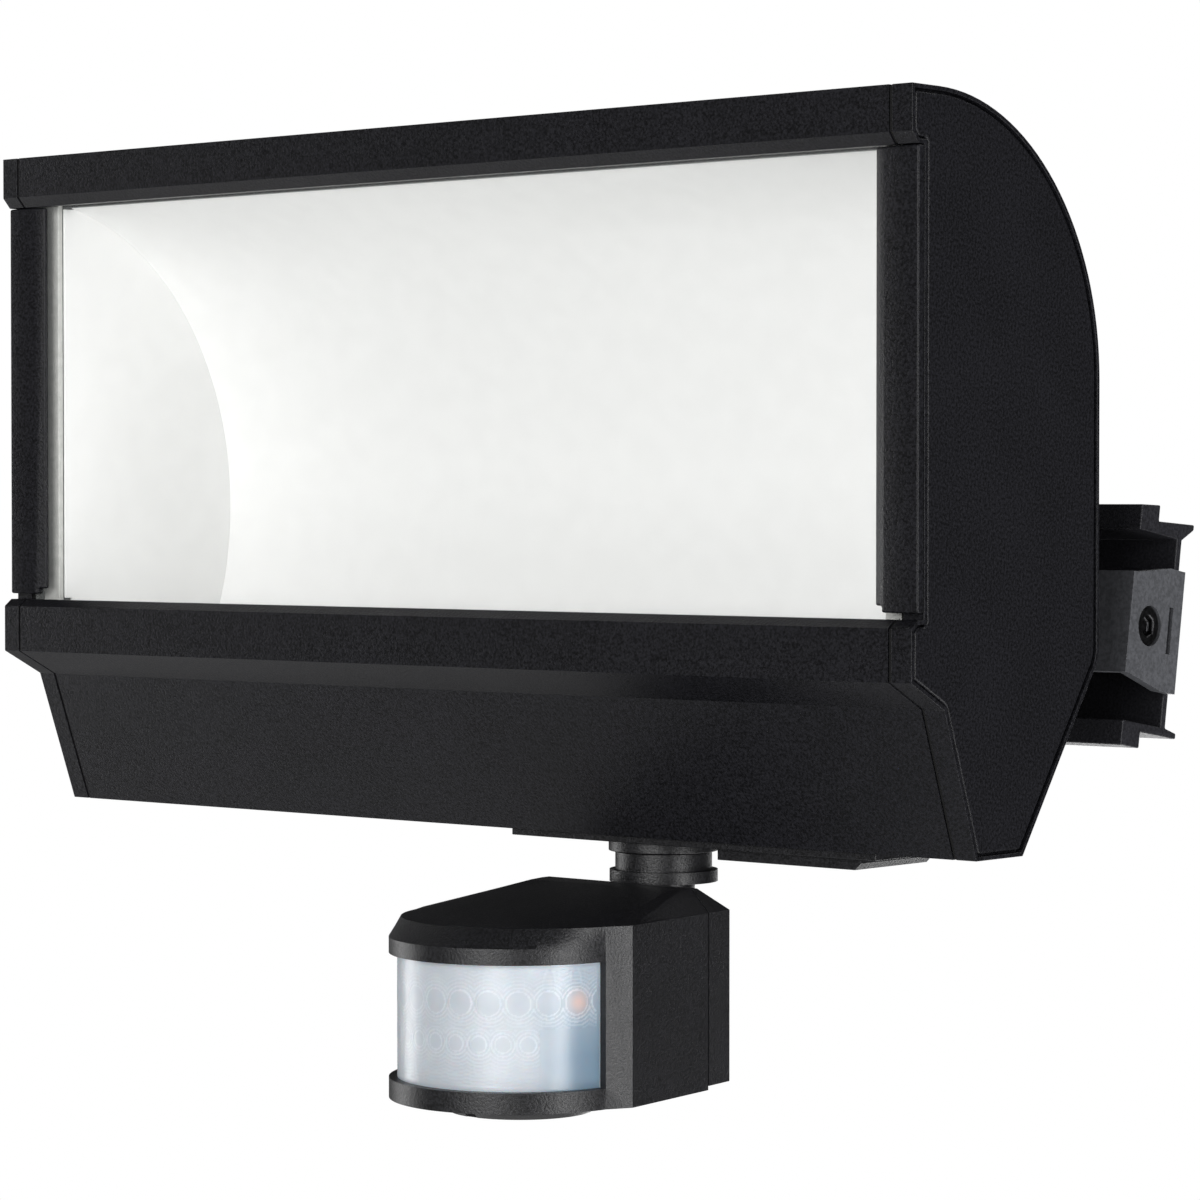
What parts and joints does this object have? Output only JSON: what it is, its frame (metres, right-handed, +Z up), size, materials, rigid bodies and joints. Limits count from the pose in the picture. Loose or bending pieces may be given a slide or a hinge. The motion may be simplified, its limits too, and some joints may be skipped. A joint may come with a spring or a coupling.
{
  "type": "motion-sensor floodlight",
  "caption": "Wall-mounted LED floodlight with a curved housing, a wide glass front and trough reflector, on a tilting yoke, with a swivelling motion sensor hanging below.",
  "frame": {"origin": "centre of the two wall holes, in the wall's plane", "axes": "+X along the lamp's width to the sensor's side, +Y into the wall, +Z up; the lamp faces -Y"},
  "size_m": [0.28, 0.1508, 0.2211],
  "materials": {
    "rail_paint": "fine-textured black powder coat",
    "yoke_paint": "dark grey powder coat",
    "housing_paint": "die-cast aluminium with a fine-textured black powder coat",
    "bright_steel": "zinc-plated steel",
    "dark_steel": "blackened steel",
    "gasket_rubber": "matte black rubber",
    "pale_silicone": "pale silicone",
    "clear_glass": "clear float glass",
    "white_reflector": "aluminium sheet with a satin white coat",
    "bare_aluminium": "extruded aluminium",
    "circuit_board": "solder mask",
    "led_phosphor": "yellow phosphor",
    "thermal_pad": "thermal pad",
    "driver_case": "moulded case",
    "terminal_plastic": "moulded nylon",
    "gland_plastic": "black nylon",
    "sensor_plastic": "fine-textured black plastic",
    "milky_lens": "milky moulded lens",
    "red_led": "red lens",
    "light_cell_face": "light cell",
    "dial_plastic": "black plastic knob"
  },
  "bodies": {
    "wall_bracket": {"wall_rail": "rail_paint", "pivot_lug_left": "rail_paint", "pivot_lug_right": "rail_paint", "pivot_pin_left": "dark_steel", "pivot_pin_right": "dark_steel", "pivot_nuts": "bright_steel", "lug_rivet_heads": "dark_steel"},
    "lamp_head": {"yoke": "yoke_paint", "yoke_bolts": "dark_steel", "rear_mount": "housing_paint", "rear_mount_screws": "dark_steel", "housing": "housing_paint", "end_cap_left": "housing_paint", "end_cap_right": "housing_paint", "side_cover_left": "housing_paint", "side_cover_right": "housing_paint", "seam_gasket_left": "gasket_rubber", "seam_gasket_right": "gasket_rubber", "end_cap_screws": "bright_steel", "glass_clamp_left": "housing_paint", "glass_clamp_right": "housing_paint", "glass": "clear_glass", "glass_seal": "pale_silicone", "reflector": "white_reflector", "reflector_floor": "white_reflector", "reflector_end_left": "white_reflector", "reflector_end_right": "white_reflector", "led_bar": "bare_aluminium", "led_board": "circuit_board", "led_chips": "led_phosphor", "led_bar_brackets": "bright_steel", "driver_pad": "thermal_pad", "led_driver": "driver_case", "terminal_block": "terminal_plastic", "cable_gland": "gland_plastic", "gland_nut": "gland_plastic", "sensor_base": "sensor_plastic", "entry_cover": "sensor_plastic", "entry_cover_screw": "dark_steel"},
    "sensor_neck": {"neck": "sensor_plastic", "swivel_nut": "gland_plastic"},
    "sensor_head": {"sensor_body": "sensor_plastic", "sensor_lens": "milky_lens", "sensor_back_cover": "sensor_plastic", "tilt_screw": "bright_steel", "tilt_nut": "bright_steel", "dial_plate": "sensor_plastic", "potentiometers": "terminal_plastic", "sensor_board": "circuit_board", "motion_detector": "bright_steel", "indicator_led": "red_led", "light_cell": "light_cell_face", "back_cover_screws": "bright_steel"},
    "time_knob": {"time_dial": "dial_plastic"},
    "light_knob": {"light_dial": "dial_plastic"},
    "range_knob": {"range_dial": "dial_plastic"}
  },
  "joints": [
    {"name": "head_tilt", "type": "hinge", "parent": "wall_bracket", "child": "lamp_head", "pos_m": [0, -0.0194, 0], "axis": [1, 0, 0], "range_deg": [-25, 30]},
    {"name": "sensor_pan", "type": "hinge", "parent": "lamp_head", "child": "sensor_neck", "pos_m": [0.0425, -0.076, -0.06263], "axis": [0, -0.1564, 0.9877], "range_deg": [-90, 90]},
    {"name": "sensor_tilt", "type": "hinge", "parent": "sensor_neck", "child": "sensor_head", "pos_m": [0.0425, -0.07225, -0.08633], "axis": [1, 0, 0], "range_deg": [0, 35]},
    {"name": "time_dial_turn", "type": "hinge", "parent": "sensor_head", "child": "time_knob", "pos_m": [0.03467, -0.12053, -0.1203], "axis": [0, -0.1564, 0.9877], "range_deg": [-135, 135]},
    {"name": "light_dial_turn", "type": "hinge", "parent": "sensor_head", "child": "light_knob", "pos_m": [0.05033, -0.12053, -0.1203], "axis": [0, -0.1564, 0.9877], "range_deg": [-135, 135]},
    {"name": "range_dial_turn", "type": "hinge", "parent": "sensor_head", "child": "range_knob", "pos_m": [0.0425, -0.10719, -0.11819], "axis": [0, -0.1564, 0.9877], "range_deg": [-135, 135]}
  ]
}
